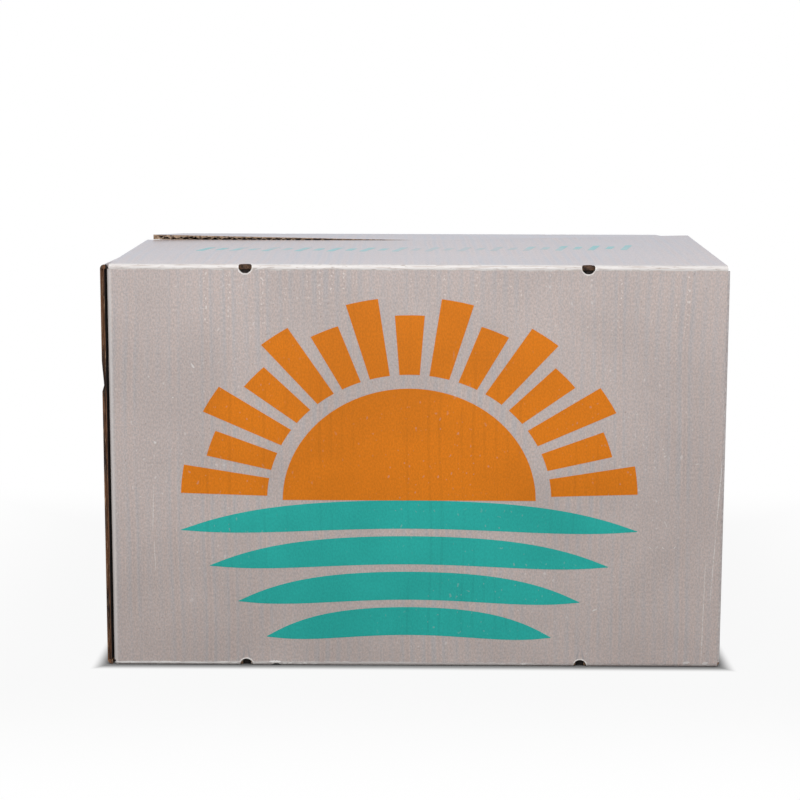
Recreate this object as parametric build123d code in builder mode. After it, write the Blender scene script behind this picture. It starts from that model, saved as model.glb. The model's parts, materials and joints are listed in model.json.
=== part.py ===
from build123d import *
import os
from math import asin, degrees, pi, sqrt

# A waxed corrugated produce box of the regular slotted kind, closed and untaped.
# One scored sheet makes the four walls, the lapped joint, the glued bottom and the tucked end flaps.
# The two outer top flaps swing on their front and rear folds. Millimetres, +Z up, front face towards -Y,
# origin at the middle of the base.

# Outside sizes of the box between its folds
length = 450.0
depth = 400.0
height = 295.0

# Corrugated board: two liners and a fluted medium, with flutes that run up the walls
board = 3.8
liner = 0.55
medium = 0.45
flute_pitch = 8.0
flute_crest = 0.5
flute_tip_cut = 0.5

# Scored folds
fold_radius = 3.0
corner_radius = 2.5
inner_corner_radius = 0.8
fold_clearance = 0.15
score_crush = 6.0

# Lapped joint at the front left corner: the front wall's tab lies inside the left wall
lap_gap = 0.9
lap_tab_length = 38.0
lap_glue_length = 20.0
cut_edge_setback = 1.2
cut_edge_groove = 2.2
cut_edge_crush = 0.9
cut_edge_crush_length = 6.0
pinch_height = 207.0
pinch_run_up = 18.0
pinch_run_down = 4.0
pinch_depth = 1.4
pinch_length = 9.0

# Side walls and the end flaps that tuck under the outer flaps
end_fold_drop = 0.5
end_flap_clearance = 0.4
end_flap_side_gap = 1.5
end_fold_shoulder = 2.2

# Outer flaps: insets from the outside of the left and right walls, and the seam between the free edges
seam_gap = 1.0
front_flap_left_inset = 6.3
rear_flap_left_inset = 11.2
top_flap_right_inset = 1.8
bottom_flap_left_inset = 6.3
bottom_flap_right_inset = 1.8

# Spring of the untaped outer flaps: how far the free edges stand above the folds, from left to right
seam_rise = 10.6
front_rise_shares = (0.53, 0.54, 0.57, 0.77, 1.0)
rear_rise_shares = (0.92, 0.73, 0.56, 0.52, 0.52)

# Vents at the top folds and drains at the bottom folds, punched through the flat sheet: the shifts say how far
# they lie below their fold lines, and the drifts how far left of the middle of the wall
vent_radius = 4.75
vent_spacing = 245.0
vent_shift = 1.0
vent_drift = 1.0
drain_shift = 0.2
drain_drift = 2.5
low_drain_offset = 22.0
low_drain_shift = 3.5

# Overrun of a cut past the surface where it starts or ends in the open
overrun = 2.0

# Places worked out from the sizes above
left, right = -length / 2, length / 2
front, rear = -depth / 2, depth / 2
left_inner, right_inner = left + board, right - board
cut_edge = front + cut_edge_setback
cut_edge_inner = left_inner - cut_edge_crush
front_fold_x = left_inner + lap_gap
end_flap_reach = depth / 2
end_flap_top = height - board - end_flap_clearance
flap_reach = (depth - seam_gap) / 2
core = board - 2 * liner
fold_saving = fold_radius * (1 - pi / 4)
panel_middle = (front_fold_x + right) / 2
vents = [panel_middle - vent_drift + side * vent_spacing / 2 for side in (-1, 1)]
drains = [panel_middle - drain_drift + side * vent_spacing / 2 for side in (-1, 1)]


def corner(sketch, x, y):
    """The corner of a sketch in progress that lies nearest to a point of its plane."""
    return sketch.vertices().sort_by_distance((x, y))[0]


def strip(x_low, x_high, y_low, y_high):
    """A rectangle between two corners of the sketch plane."""
    with Locations(((x_low + x_high) / 2, (y_low + y_high) / 2)):
        return Rectangle(x_high - x_low, y_high - y_low)


def fold_arc(start_angle, end_angle):
    """The outside of the front top fold, between two angles turned from the wall towards the flap."""
    return CenterArc(
        center=(front + fold_radius, height - fold_radius),
        radius=fold_radius,
        start_angle=180 - start_angle,
        arc_size=start_angle - end_angle,
    )


def punch(plane, places, reach):
    """Vents or drains through one sheet, from a plane in front of it."""
    with BuildSketch(plane) as holes:
        with Locations(*places):
            Circle(vent_radius)
    extrude(holes.sketch, amount=reach, mode=Mode.SUBTRACT)


def outer_flap(left_inset, rise_shares):
    """An outer top flap as it stands on the front fold, with open flutes along its free edge."""
    flap_left = left + left_inset
    flap_width = length - left_inset - top_flap_right_inset
    stretch = flap_reach - board
    rises = [(flap_left + flap_width * step / (len(rise_shares) - 1), seam_rise * share)
             for step, share in enumerate(rise_shares)]
    with BuildPart() as flap:
        # The flap's half of the fold, mitred to clear the wall's half
        with BuildSketch(Plane.YZ.offset(flap_left)):
            with BuildLine():
                bend = fold_arc(45 + degrees(asin(fold_clearance / fold_radius)), 90)
                crown = Line(bend @ 1, (front + board, height))
                score = Line(crown @ 1, (front + board, height - board + fold_clearance * sqrt(2)))
                Line(score @ 1, bend @ 0)
            make_face()
        extrude(amount=flap_width)

        # The sheet, flat along the fold and sprung up along the free edge
        with BuildSketch(Plane.XZ.offset(-front - board)):
            strip(flap_left, flap_left + flap_width, height - board, height)
        with BuildSketch(Plane.XZ.offset(-front - flap_reach)):
            with BuildLine():
                upper = Spline(*[(x, height + rise) for x, rise in rises])
                lower = Spline(*[(x, height - board + rise) for x, rise in rises])
                Line(upper @ 0, lower @ 0)
                Line(upper @ 1, lower @ 1)
            make_face()
        loft(ruled=True)

        # Flute cells, in turn under the outer and over the inner liner, open at the free edge
        with BuildSketch(mode=Mode.PRIVATE) as cell:
            with BuildLine():
                Polyline((-flute_pitch / 2 + flute_crest / 2, 0), (flute_pitch / 2 - flute_crest / 2, 0),
                         (0, medium - core), close=True)
            make_face()
            chamfer(corner(cell, 0, -core), flute_tip_cut)
        cells = []
        count = int(2 * flap_width / flute_pitch) - 2
        for index in range(count):
            edge_point = upper @ (0.5 + (index + 0.5 - count / 2) * flute_pitch / 2 / flap_width)
            rise = edge_point.Y - height
            under_outer = index % 2 == 0
            base = height - liner if under_outer else height - board + liner
            plane = Plane(
                origin=(edge_point.X, front + board + score_crush, base + rise * score_crush / stretch),
                x_dir=(1 if under_outer else -1, 0, 0),
                z_dir=(0, -1, 0),
            )
            run = Vector(0, stretch - score_crush + overrun, rise * (stretch - score_crush + overrun) / stretch)
            cells.append(Solid.extrude(plane.location * cell.sketch.face(), run))
        add(cells, mode=Mode.SUBTRACT)

        punch(Plane.XY.offset(height - board - overrun),
              [(x, front + fold_saving - vent_shift) for x in vents], board + 2 * overrun)
    return flap.part


# Box body: walls, lapped joint, bottom flaps and tucked end flaps, all one folded sheet
with BuildPart() as carton:
    # Front and rear walls between their folds, with the tab and its glued stretch
    with BuildSketch(Plane.XY.offset(board)) as plan:
        strip(front_fold_x, right, front, front + board)
        strip(left, right, rear - board, rear)
        strip(front_fold_x, front_fold_x + board, front, front + lap_tab_length)
        strip(left_inner, front_fold_x, front + lap_tab_length - lap_glue_length, front + lap_tab_length)
        fillet(corner(plan, front_fold_x, front), fold_radius)
        fillet(corner(plan, front_fold_x + board, front + board), inner_corner_radius)
        fillet([corner(plan, right, front), corner(plan, right, rear), corner(plan, left, rear)], corner_radius)
    extrude(amount=height - 2 * board)

    # Left wall, whose cut front edge shows beside the front wall
    with BuildSketch(Plane.XZ.offset(corner_radius - rear)) as left_section:
        strip(left, left_inner, end_fold_drop, height - end_fold_drop)
        fillet([corner(left_section, left, 0), corner(left_section, left, height)], fold_radius)
    extrude(amount=depth - corner_radius - cut_edge_setback)

    # Right wall, a board lower at the top because the outer flaps pass over it
    with BuildSketch(Plane.XZ.offset(corner_radius - rear)) as right_section:
        strip(right_inner, right, end_fold_drop, end_flap_top)
        fillet([corner(right_section, right, 0), corner(right_section, right, height)], fold_radius)
    extrude(amount=depth - 2 * corner_radius)

    # End flaps at the top and bottom, folded in from the side walls
    with BuildSketch(Plane.XZ.offset(board + end_flap_side_gap - rear)):
        strip(left_inner - liner, left + end_flap_reach, end_flap_top - board, end_flap_top)
        strip(right - end_flap_reach, right_inner + liner, end_flap_top - board, end_flap_top)
        strip(left_inner - liner, left + end_flap_reach, board, 2 * board)
        strip(right - end_flap_reach, right_inner + liner, board, 2 * board)
        with BuildLine():
            Polyline(
                (left_inner - liner, height - end_fold_drop),
                (left_inner, height - end_fold_drop),
                (left_inner + end_fold_shoulder, end_flap_top),
                (left_inner - liner, end_flap_top),
                close=True,
            )
        make_face()
    extrude(amount=depth - 2 * board - 2 * end_flap_side_gap)

    # Outer bottom flaps, folded in from the front and rear walls and glued to the end flaps
    with BuildSketch(Plane.YZ.offset(left + bottom_flap_left_inset)) as bottom:
        strip(front, -seam_gap / 2, 0, board)
        strip(seam_gap / 2, rear, 0, board)
        fillet([corner(bottom, front, 0), corner(bottom, rear, 0)], fold_radius)
    extrude(amount=length - bottom_flap_left_inset - bottom_flap_right_inset)

    # The wall's half of the front and rear top folds, mitred to meet the outer flaps
    for left_inset, at_rear in ((front_flap_left_inset, False), (rear_flap_left_inset, True)):
        with BuildSketch(Plane.YZ.offset(left + left_inset)):
            with BuildLine():
                start = Line((front, height - board), (front, height - fold_radius))
                bend = fold_arc(0, 45)
                mitre = Line(bend @ 1, (front + board, height - board))
                Line(mitre @ 1, start @ 0)
            make_face()
            if at_rear:
                mirror(about=Plane.YZ, mode=Mode.REPLACE)
        extrude(amount=length - left_inset - top_flap_right_inset)

    # Vents and drains through both long walls at their folds, stopping short of the end flaps, and one more
    # drain low in the front wall's foot
    through_wall = overrun + board + end_flap_side_gap / 2
    low_drain = drains[0] + low_drain_offset
    for start_y in (front - overrun, rear + overrun - through_wall):
        punch(Plane.XZ.offset(-start_y), [(x, height - fold_saving - vent_shift) for x in vents], -through_wall)
        punch(Plane.XZ.offset(-start_y), [(x, fold_saving - drain_shift) for x in drains], -through_wall)
    punch(Plane.XZ.offset(overrun - front), [(low_drain, fold_saving - low_drain_shift)], -through_wall)

    # The same drains through the bottom flaps, between the feet of the walls
    fold_inset = fold_saving + drain_shift
    bottom_places = [(x, y) for x in drains for y in (front + fold_inset, rear - fold_inset)]
    with BuildSketch(Plane.XY.offset(-overrun)) as bottom_holes:
        with Locations(*bottom_places, (low_drain, front + fold_saving + low_drain_shift)):
            Circle(vent_radius)
        Rectangle(length, depth - 2 * board, mode=Mode.INTERSECT)
    extrude(bottom_holes.sketch, amount=overrun + board, mode=Mode.SUBTRACT)

    # The left wall's cut edge: pressed thinner from inside, with an open flute between the liners
    # whose medium slants from one to the other
    with BuildSketch(Plane.XY.offset(end_fold_drop + fold_radius)):
        with BuildLine():
            Polyline(
                (left + liner, cut_edge),
                (left + liner, cut_edge - overrun),
                (cut_edge_inner - liner, cut_edge - overrun),
                (cut_edge_inner - liner, cut_edge + cut_edge_groove),
                close=True,
            )
        make_face()
        with BuildLine():
            Polyline(
                (cut_edge_inner, cut_edge),
                (cut_edge_inner, cut_edge - overrun),
                (left_inner + liner, cut_edge - overrun),
                (left_inner + liner, cut_edge + cut_edge_crush_length),
                (left_inner, cut_edge + cut_edge_crush_length),
                close=True,
            )
        make_face()
    extrude(amount=height - 2 * end_fold_drop - 2 * fold_radius, mode=Mode.SUBTRACT)

    # A pinch in the same edge, deepest near its lower end and fading along the outer liner
    with BuildSketch(Plane.XZ.offset(-cut_edge), mode=Mode.PRIVATE) as pinch:
        with BuildLine():
            Polyline(
                (left + pinch_depth, pinch_height),
                (left, pinch_height + pinch_run_up),
                (left - overrun, pinch_height + pinch_run_up),
                (left - overrun, pinch_height - pinch_run_down),
                (left, pinch_height - pinch_run_down),
                close=True,
            )
        make_face()
    add(Solid.extrude(pinch.sketch.face(), Vector(-pinch_depth, pinch_length, 0)), mode=Mode.SUBTRACT)
carton.part.label = "carton"

# Outer top flaps
front_sheet = outer_flap(front_flap_left_inset, front_rise_shares)
with BuildPart() as front_top_flap:
    add(front_sheet)
front_top_flap.part.label = "front_top_flap"

rear_sheet = outer_flap(rear_flap_left_inset, rear_rise_shares)
with BuildPart() as rear_top_flap:
    mirror(rear_sheet, about=Plane.XZ)
rear_top_flap.part.label = "rear_top_flap"

os.makedirs("parts", exist_ok=True)
export_step(carton.part, "parts/carton.step")
export_step(front_top_flap.part, "parts/front_top_flap.step")
export_step(rear_top_flap.part, "parts/rear_top_flap.step")
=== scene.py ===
"""Dresses the waxed produce box in its shared frame and lights it for one studio photograph.

Metres throughout, +X to the right along the printed front wall, +Y towards the rear wall, +Z up.
"""

import json
import logging
import math
from dataclasses import dataclass
from enum import Enum
from typing import Iterable, Optional, Union

import bmesh
import bpy
from mathutils import Matrix, Vector, noise
from mathutils.bvhtree import BVHTree


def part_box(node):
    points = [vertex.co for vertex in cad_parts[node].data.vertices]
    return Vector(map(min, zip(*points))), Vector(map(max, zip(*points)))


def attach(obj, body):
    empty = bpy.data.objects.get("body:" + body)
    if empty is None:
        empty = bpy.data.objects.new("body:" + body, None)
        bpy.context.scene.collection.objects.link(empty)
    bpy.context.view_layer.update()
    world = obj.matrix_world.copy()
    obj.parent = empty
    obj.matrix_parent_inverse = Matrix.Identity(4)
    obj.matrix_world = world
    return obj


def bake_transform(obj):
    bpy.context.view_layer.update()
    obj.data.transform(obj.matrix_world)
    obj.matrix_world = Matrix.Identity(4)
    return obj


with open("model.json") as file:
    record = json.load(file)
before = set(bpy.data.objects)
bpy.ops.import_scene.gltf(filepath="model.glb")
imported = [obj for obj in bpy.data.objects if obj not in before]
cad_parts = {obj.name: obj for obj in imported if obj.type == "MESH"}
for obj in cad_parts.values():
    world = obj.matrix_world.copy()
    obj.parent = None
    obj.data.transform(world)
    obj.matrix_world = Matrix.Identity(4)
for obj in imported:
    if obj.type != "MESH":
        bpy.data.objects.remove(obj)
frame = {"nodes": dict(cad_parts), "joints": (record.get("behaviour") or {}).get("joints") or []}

Socket = bpy.types.NodeSocket
Sockets = bpy.types.bpy_prop_collection
Node = bpy.types.Node
NodeTree = bpy.types.NodeTree
Material = bpy.types.Material
Piece = bpy.types.Object
Mesh = bmesh.types.BMesh
Vert = bmesh.types.BMVert
Face = bmesh.types.BMFace
Value = Union[float, Socket]
Colour = tuple[float, float, float, float]
Pair = tuple[float, float]
Triple = tuple[float, float, float]

LOG = logging.getLogger("produce_box")
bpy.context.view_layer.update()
SHARP_ANGLE = math.radians(40)
EVEN: Triple = (1.0, 1.0, 1.0)
WHOLE: Pair = (0.0, 1.0)
NOISE_SPAN: Pair = (0.3, 0.7)
PAPER_ROUGHNESS: Pair = (0.7, 0.9)
WAX_COAT_ROUGHNESS = 0.32
DOWN = Vector((0, 0, -1))


def srgb(red: int, green: int, blue: int) -> Colour:
    """A display colour of 0 to 255 per channel as the linear colour that shaders take.

    Args:
        red: Red channel.
        green: Green channel.
        blue: Blue channel.

    Returns:
        The linear colour with full alpha.
    """

    def channel(level: int) -> float:
        """One channel made linear."""
        share = level / 255
        return share / 12.92 if share <= 0.04045 else ((share + 0.055) / 1.055) ** 2.4

    return channel(red), channel(green), channel(blue), 1.0


class Axis(Enum):
    """The row axis across the flutes of a sheet."""

    X = 0
    Y = 1
    Z = 2


class Skin(Enum):
    """The kinds of board surface that a sheet can show, by the names of their materials."""

    OUTER_ACROSS_X = "outer_liner_across_x"
    OUTER_ACROSS_Y = "outer_liner_across_y"
    INNER_ACROSS_X = "inner_liner_across_x"
    INNER_ACROSS_Y = "inner_liner_across_y"
    CUT = "cut_board"
    TORN = "torn_board"
    # near-black board: painted shade in holes, gaps and hidden edges
    PUNCHED = "punched_board"
    FLUTE_MOUTHS = "flute_mouths"
    # darker kraft: the medium's own brown with painted shade inside flute cells
    FLUTE_CELL = "flute_cell"


@dataclass(frozen=True)
class Board:
    """Sizes of the corrugated board and of the box that is folded from it."""

    thickness: float = 0.0038
    liner: float = 0.00055
    flute_pitch: float = 0.008
    fold_radius: float = 0.003
    vent_radius: float = 0.00475
    vent_spacing: float = 0.245
    vent_shift: float = 0.001
    vent_drift: float = 0.001
    drain_shift: float = 0.0002
    drain_drift: float = 0.0025
    low_drain_offset: float = 0.022
    low_drain_shift: float = 0.0035
    lap_width: float = 0.0047
    cut_edge_depth: float = 0.0035
    end_flap_clearance: float = 0.0004


class Frame:
    """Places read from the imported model."""

    def __init__(self, board: Board) -> None:
        """Reads the box and its hinges.

        Args:
            board: Sizes of the board.
        """
        self.board = board
        low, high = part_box("carton")
        self.left, self.right = low.x, high.x
        self.front, self.rear = low.y, high.y
        self.hinges = {joint["child"]: Vector(joint["pos_m"]) for joint in frame["joints"]}
        self.top = self.hinges["front_flap"].z
        self.panel_left = self.left + board.lap_width
        middle = (self.panel_left + self.right) / 2
        half = board.vent_spacing / 2
        self.vents = tuple(middle - board.vent_drift + side * half for side in (-1, 1))
        self.drains = tuple(middle - board.drain_drift + side * half for side in (-1, 1))
        self.low_drain = self.drains[0] + board.low_drain_offset
        self.fold_saving = board.fold_radius * (1 - math.pi / 4)

    def bend(self, z: float) -> float:
        """How far a long wall's outside falls back at a height, within the top and bottom folds.

        Args:
            z: The height.

        Returns:
            The distance from the wall's plane.
        """
        radius = self.board.fold_radius
        rest = max(radius - min(z, self.top - z), 0.0)
        return radius - math.sqrt(max(radius**2 - rest**2, 0.0))


@dataclass(frozen=True)
class Grain:
    """A noise pattern: features per metre, octaves, their fine weight, the span that counts, its stretch."""

    scale: float
    detail: float = 2.0
    rough: float = 0.5
    span: Pair = WHOLE
    stretch: Triple = EVEN


class Graph:
    """A shader node tree that is built with short calls."""

    def __init__(self, tree: NodeTree) -> None:
        """Takes the tree of a material, a world or a group to build in."""
        self.tree = tree

    def node(self, kind: str, **settings: object) -> Node:
        """Adds a node.

        Args:
            kind: Blender's name of the node type.
            **settings: Properties to set on it.

        Returns:
            The new node.
        """
        made = self.tree.nodes.new(kind)
        for name, value in settings.items():
            setattr(made, name, value)
        return made

    def feed(self, socket: Socket, value: Union[Value, Colour, Vector]) -> None:
        """Links a socket or sets its value.

        Args:
            socket: The input to feed.
            value: An output socket or a constant.
        """
        if isinstance(value, bpy.types.NodeSocket):
            self.tree.links.new(value, socket)
        else:
            socket.default_value = value

    def math(self, operation: str, *operands: Value) -> Socket:
        """Adds a Math node.

        Args:
            operation: Blender's name of the operation.
            *operands: What it reads.

        Returns:
            The result.
        """
        made = self.node("ShaderNodeMath", operation=operation)
        for socket, value in zip(made.inputs, operands):
            self.feed(socket, value)
        return made.outputs[0]

    def times(self, first: Value, second: Value) -> Socket:
        """The product of two values."""
        return self.math("MULTIPLY", first, second)

    def apart(self, first: Value, second: Value) -> Socket:
        """How far two values lie from each other."""
        return self.math("ABSOLUTE", self.math("SUBTRACT", first, second))

    def most(self, *values: Value) -> Socket:
        """The largest of some values.

        Args:
            *values: Two or more values.

        Returns:
            The largest.
        """
        total = values[0]
        for value in values[1:]:
            total = self.math("MAXIMUM", total, value)
        return total

    def ramp(self, value: Value, span: Pair, onto: Pair = WHOLE) -> Socket:
        """Maps a span of values smoothly onto another.

        Args:
            value: What is mapped.
            span: Values where the mapping starts and ends.
            onto: Results at those values.

        Returns:
            The mapped value.
        """
        made = self.node("ShaderNodeMapRange", interpolation_type="SMOOTHSTEP")
        for socket, number in zip(made.inputs, (value, *span, *onto)):
            self.feed(socket, number)
        return made.outputs[0]

    def noise(self, place: Socket, grain: Grain) -> Socket:
        """Adds a noise texture.

        Args:
            place: Where it is read.
            grain: The pattern.

        Returns:
            Its value, around 0.5.
        """
        made = self.node("ShaderNodeTexNoise")
        where = place if grain.stretch == EVEN else self.stretch(place, grain.stretch)
        settings = {"Vector": where, "Scale": grain.scale, "Detail": grain.detail, "Roughness": grain.rough}
        for name, value in settings.items():
            self.feed(made.inputs[name], value)
        return made.outputs[0]

    def grain(self, place: Socket, grain: Grain, onto: Pair = WHOLE) -> Socket:
        """A noise pattern with the span that counts mapped onto another."""
        return self.ramp(self.noise(place, grain), grain.span, onto)

    def stretch(self, place: Socket, scale: Triple) -> Socket:
        """Scales coordinates along the axes.

        Args:
            place: Coordinates.
            scale: Factor along each axis.

        Returns:
            The scaled coordinates.
        """
        made = self.node("ShaderNodeMapping")
        self.feed(made.inputs["Vector"], place)
        self.feed(made.inputs["Scale"], scale)
        return made.outputs[0]

    def mix(self, share: Value, first: Union[Socket, Colour], second: Union[Socket, Colour]) -> Socket:
        """Mixes two colours.

        Args:
            share: How much of the second colour.
            first: First colour.
            second: Second colour.

        Returns:
            The mixed colour.
        """
        made = self.node("ShaderNodeMix", data_type="RGBA", blend_type="MIX")
        self.feed(made.inputs[0], share)
        self.feed(made.inputs[6], first)
        self.feed(made.inputs[7], second)
        return made.outputs[2]

    def shade(self, colour: Union[Socket, Triple], factor: Value) -> Socket:
        """Makes a colour lighter or darker.

        Args:
            colour: The colour.
            factor: What its channels are multiplied by.

        Returns:
            The shaded colour.
        """
        made = self.node("ShaderNodeVectorMath", operation="SCALE")
        self.feed(made.inputs[0], colour)
        self.feed(made.inputs["Scale"], factor)
        return made.outputs[0]

    def parts(self, vector: Socket) -> list[Socket]:
        """The three coordinates of a vector as values.

        Args:
            vector: The vector.

        Returns:
            X, Y and Z.
        """
        made = self.node("ShaderNodeSeparateXYZ")
        self.feed(made.inputs[0], vector)
        return list(made.outputs)

    def group(self, shared: NodeTree, **values: Union[Value, Colour]) -> Sockets:
        """Places a shared group.

        Args:
            shared: The group's tree.
            **values: Its inputs by name.

        Returns:
            The group's outputs.
        """
        made = self.node("ShaderNodeGroup", node_tree=shared)
        for name, value in values.items():
            self.feed(made.inputs[name], value)
        return made.outputs


@dataclass(frozen=True)
class SharedEffects:
    """Shader groups that several finishes use."""

    flutes: NodeTree
    wax: NodeTree
    wear_and_highlight_group: NodeTree
    wedge: NodeTree

    @staticmethod
    def _tree(name: str, inputs: dict[str, str], outputs: Iterable[str]) -> tuple[Graph, Sockets, Sockets]:
        """Starts a group with its sockets.

        Args:
            name: The group's name.
            inputs: Input names and their kinds, Float or Vector.
            outputs: Names of the float outputs.

        Returns:
            The graph, its input sockets and its output sockets.
        """
        tree = bpy.data.node_groups.new(name, "ShaderNodeTree")
        for title, kind in inputs.items():
            tree.interface.new_socket(name=title, in_out="INPUT", socket_type=f"NodeSocket{kind}")
        for title in outputs:
            tree.interface.new_socket(name=title, in_out="OUTPUT", socket_type="NodeSocketFloat")
        graph = Graph(tree)
        return graph, graph.node("NodeGroupInput").outputs, graph.node("NodeGroupOutput").inputs

    @classmethod
    def build(cls, board: Board) -> "SharedEffects":
        """Makes the groups."""
        return cls(cls._flutes(board), cls._wax(), cls._wear_and_fold_highlight(), cls._wedge())

    @classmethod
    def _flutes(cls, board: Board) -> NodeTree:
        """Flutes that show through a liner: a swell for the relief and thin uneven lines for the colour; in
        a liner's colour both stand partly for wax that differs over the flutes and partly for painted shade
        of the washboard relief.

        Args:
            board: Sizes of the board.

        Returns:
            The group.
        """
        luck_span, crest_span, strength_span = (0.1, 0.9), (0.45, 0.95), (0.25, 1.0)
        inputs = {"Position": "Vector", "Across": "Float"}
        graph, given, out = cls._tree("flutes_through_liner", inputs, ["Swell", "Line"])
        drift = graph.noise(given["Position"], Grain(9.0, 1.0))
        turn = graph.math("MULTIPLY_ADD", given["Across"], 1 / board.flute_pitch, drift)
        wave = graph.math("COSINE", graph.times(turn, 2 * math.pi))
        luck = graph.node("ShaderNodeTexWhiteNoise", noise_dimensions="1D")
        graph.feed(luck.inputs["W"], graph.math("FLOOR", graph.math("ADD", turn, 0.5)))
        depth = graph.ramp(luck.outputs[0], luck_span, strength_span)
        patch = graph.grain(given["Position"], Grain(17.0, span=(0.38, 0.66)), strength_span)
        strength = graph.times(depth, patch)
        graph.feed(out["Swell"], graph.math("MULTIPLY_ADD", graph.times(wave, strength), 0.5, 0.5))
        graph.feed(out["Line"], graph.times(graph.ramp(wave, crest_span), strength))
        return graph.tree

    @classmethod
    def _wax(cls) -> NodeTree:
        """Cloudy wax over recycled fibre, with dark flecks, and with white chips and scuffs in some places.

        Returns:
            The group.
        """
        everywhere = {
            "Cloud": Grain(11.0, 4.0, 0.6, (0.3, 0.7)),
            "Grain": Grain(820.0, 2.0, 0.7, (0.34, 0.66)),
            "Fibre": Grain(900.0, 2.0, 0.6, (0.28, 0.72), (1.0, 1.0, 0.6)),
            "Fleck": Grain(410.0, 1.5, 0.5, (0.69, 0.76)),
        }
        streaks = Grain(230.0, 3.0, 0.6, (0.68, 0.74), (1.0, 1.0, 0.12))
        in_places = {
            "Chip": (Grain(360.0, 1.0, 0.5, (0.675, 0.73), (1.0, 1.0, 0.7)), Grain(10.0, span=(0.4, 0.62))),
            "Scuff": (streaks, Grain(13.0, 1.0, span=(0.54, 0.66))),
        }
        names = [*everywhere, *in_places]
        graph, given, out = cls._tree("wax_over_fibre", {"Position": "Vector"}, names)
        place = given["Position"]
        for name, grain in everywhere.items():
            graph.feed(out[name], graph.grain(place, grain))
        for name, (marks, where) in in_places.items():
            graph.feed(out[name], graph.times(graph.grain(place, marks), graph.grain(place, where)))
        return graph.tree

    @classmethod
    def _wear_and_fold_highlight(cls) -> NodeTree:
        """Wax that has cracked and whitened near a fold, out to an uneven reach; along the front panel's
        left fold the same pale mark is also a painted highlight where the rounded fold catches light.

        Returns:
            The group.
        """
        rag_weight, patch_weight, edge_span = 2.4, 1.6, (1.15, 0.5)
        inputs = {"Position": "Vector", "Distance": "Float", "Reach": "Float", "Rag": "Float"}
        graph, given, out = cls._tree("fold_wear_and_painted_highlight", inputs, ["Wear"])
        rag = graph.noise(given["Position"], Grain(480.0, 4.0, 0.65, stretch=(0.5, 1.0, 1.0)))
        patch = graph.noise(given["Position"], Grain(26.0))
        uneven = graph.math("MULTIPLY_ADD", rag, rag_weight, graph.times(patch, patch_weight))
        short = graph.math("SUBTRACT", (rag_weight + patch_weight) / 2, uneven)
        share = graph.math("DIVIDE", given["Distance"], given["Reach"])
        edge = graph.math("MULTIPLY_ADD", short, given["Rag"], share)
        graph.feed(out["Wear"], graph.ramp(edge, edge_span))
        return graph.tree

    @classmethod
    def _wedge(cls) -> NodeTree:
        """Painted shade of two faint creases that rise from a drain and meet above it: darker lines in the
        colour.

        Returns:
            The group.
        """
        half_at_foot, lean, line_span, fade_span = 0.0034, -0.175, (0.001, 0.0002), (0.019, 0.008)
        graph, given, out = cls._tree("drain_crease_shade", {"Side": "Float", "Height": "Float"}, ["Wedge"])
        half = graph.math("MULTIPLY_ADD", given["Height"], lean, half_at_foot)
        line = graph.ramp(graph.apart(graph.math("ABSOLUTE", given["Side"]), half), line_span)
        graph.feed(out["Wedge"], graph.times(line, graph.ramp(given["Height"], fade_span)))
        return graph.tree


class Finish:
    """Base of the finishes: a material with one Principled shader."""

    material: Material
    shader: Node

    def start(self, name: str, coat: float = 0.0, coat_roughness: float = 0.3) -> tuple[Graph, Socket]:
        """Starts the material.

        Args:
            name: The material's name.
            coat: Weight of the wax coat.
            coat_roughness: Roughness of the coat.

        Returns:
            The graph and the Object coordinates.
        """
        self.material = bpy.data.materials.new(name)
        self.material.use_nodes = True
        graph = Graph(self.material.node_tree)
        self.shader = self.material.node_tree.nodes["Principled BSDF"]
        self.shader.inputs["Coat Weight"].default_value = coat
        self.shader.inputs["Coat Roughness"].default_value = coat_roughness
        return graph, graph.node("ShaderNodeTexCoord").outputs["Object"]

    def end(self, graph: Graph, colour: Socket, rough: Socket, height: Socket, relief: float) -> Material:
        """Feeds the shader.

        Args:
            graph: The material's graph.
            colour: Colour of the surface.
            rough: Its roughness.
            height: Its height, of 0 to 1.
            relief: What a height of 1 stands for, in metres.

        Returns:
            The material.
        """
        bump = graph.node("ShaderNodeBump")
        bump.inputs["Distance"].default_value = relief
        graph.feed(bump.inputs["Height"], height)
        inputs = {"Base Color": colour, "Roughness": rough, "Normal": bump.outputs["Normal"]}
        for name, value in inputs.items():
            graph.feed(self.shader.inputs[name], value)
        return self.material


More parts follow.
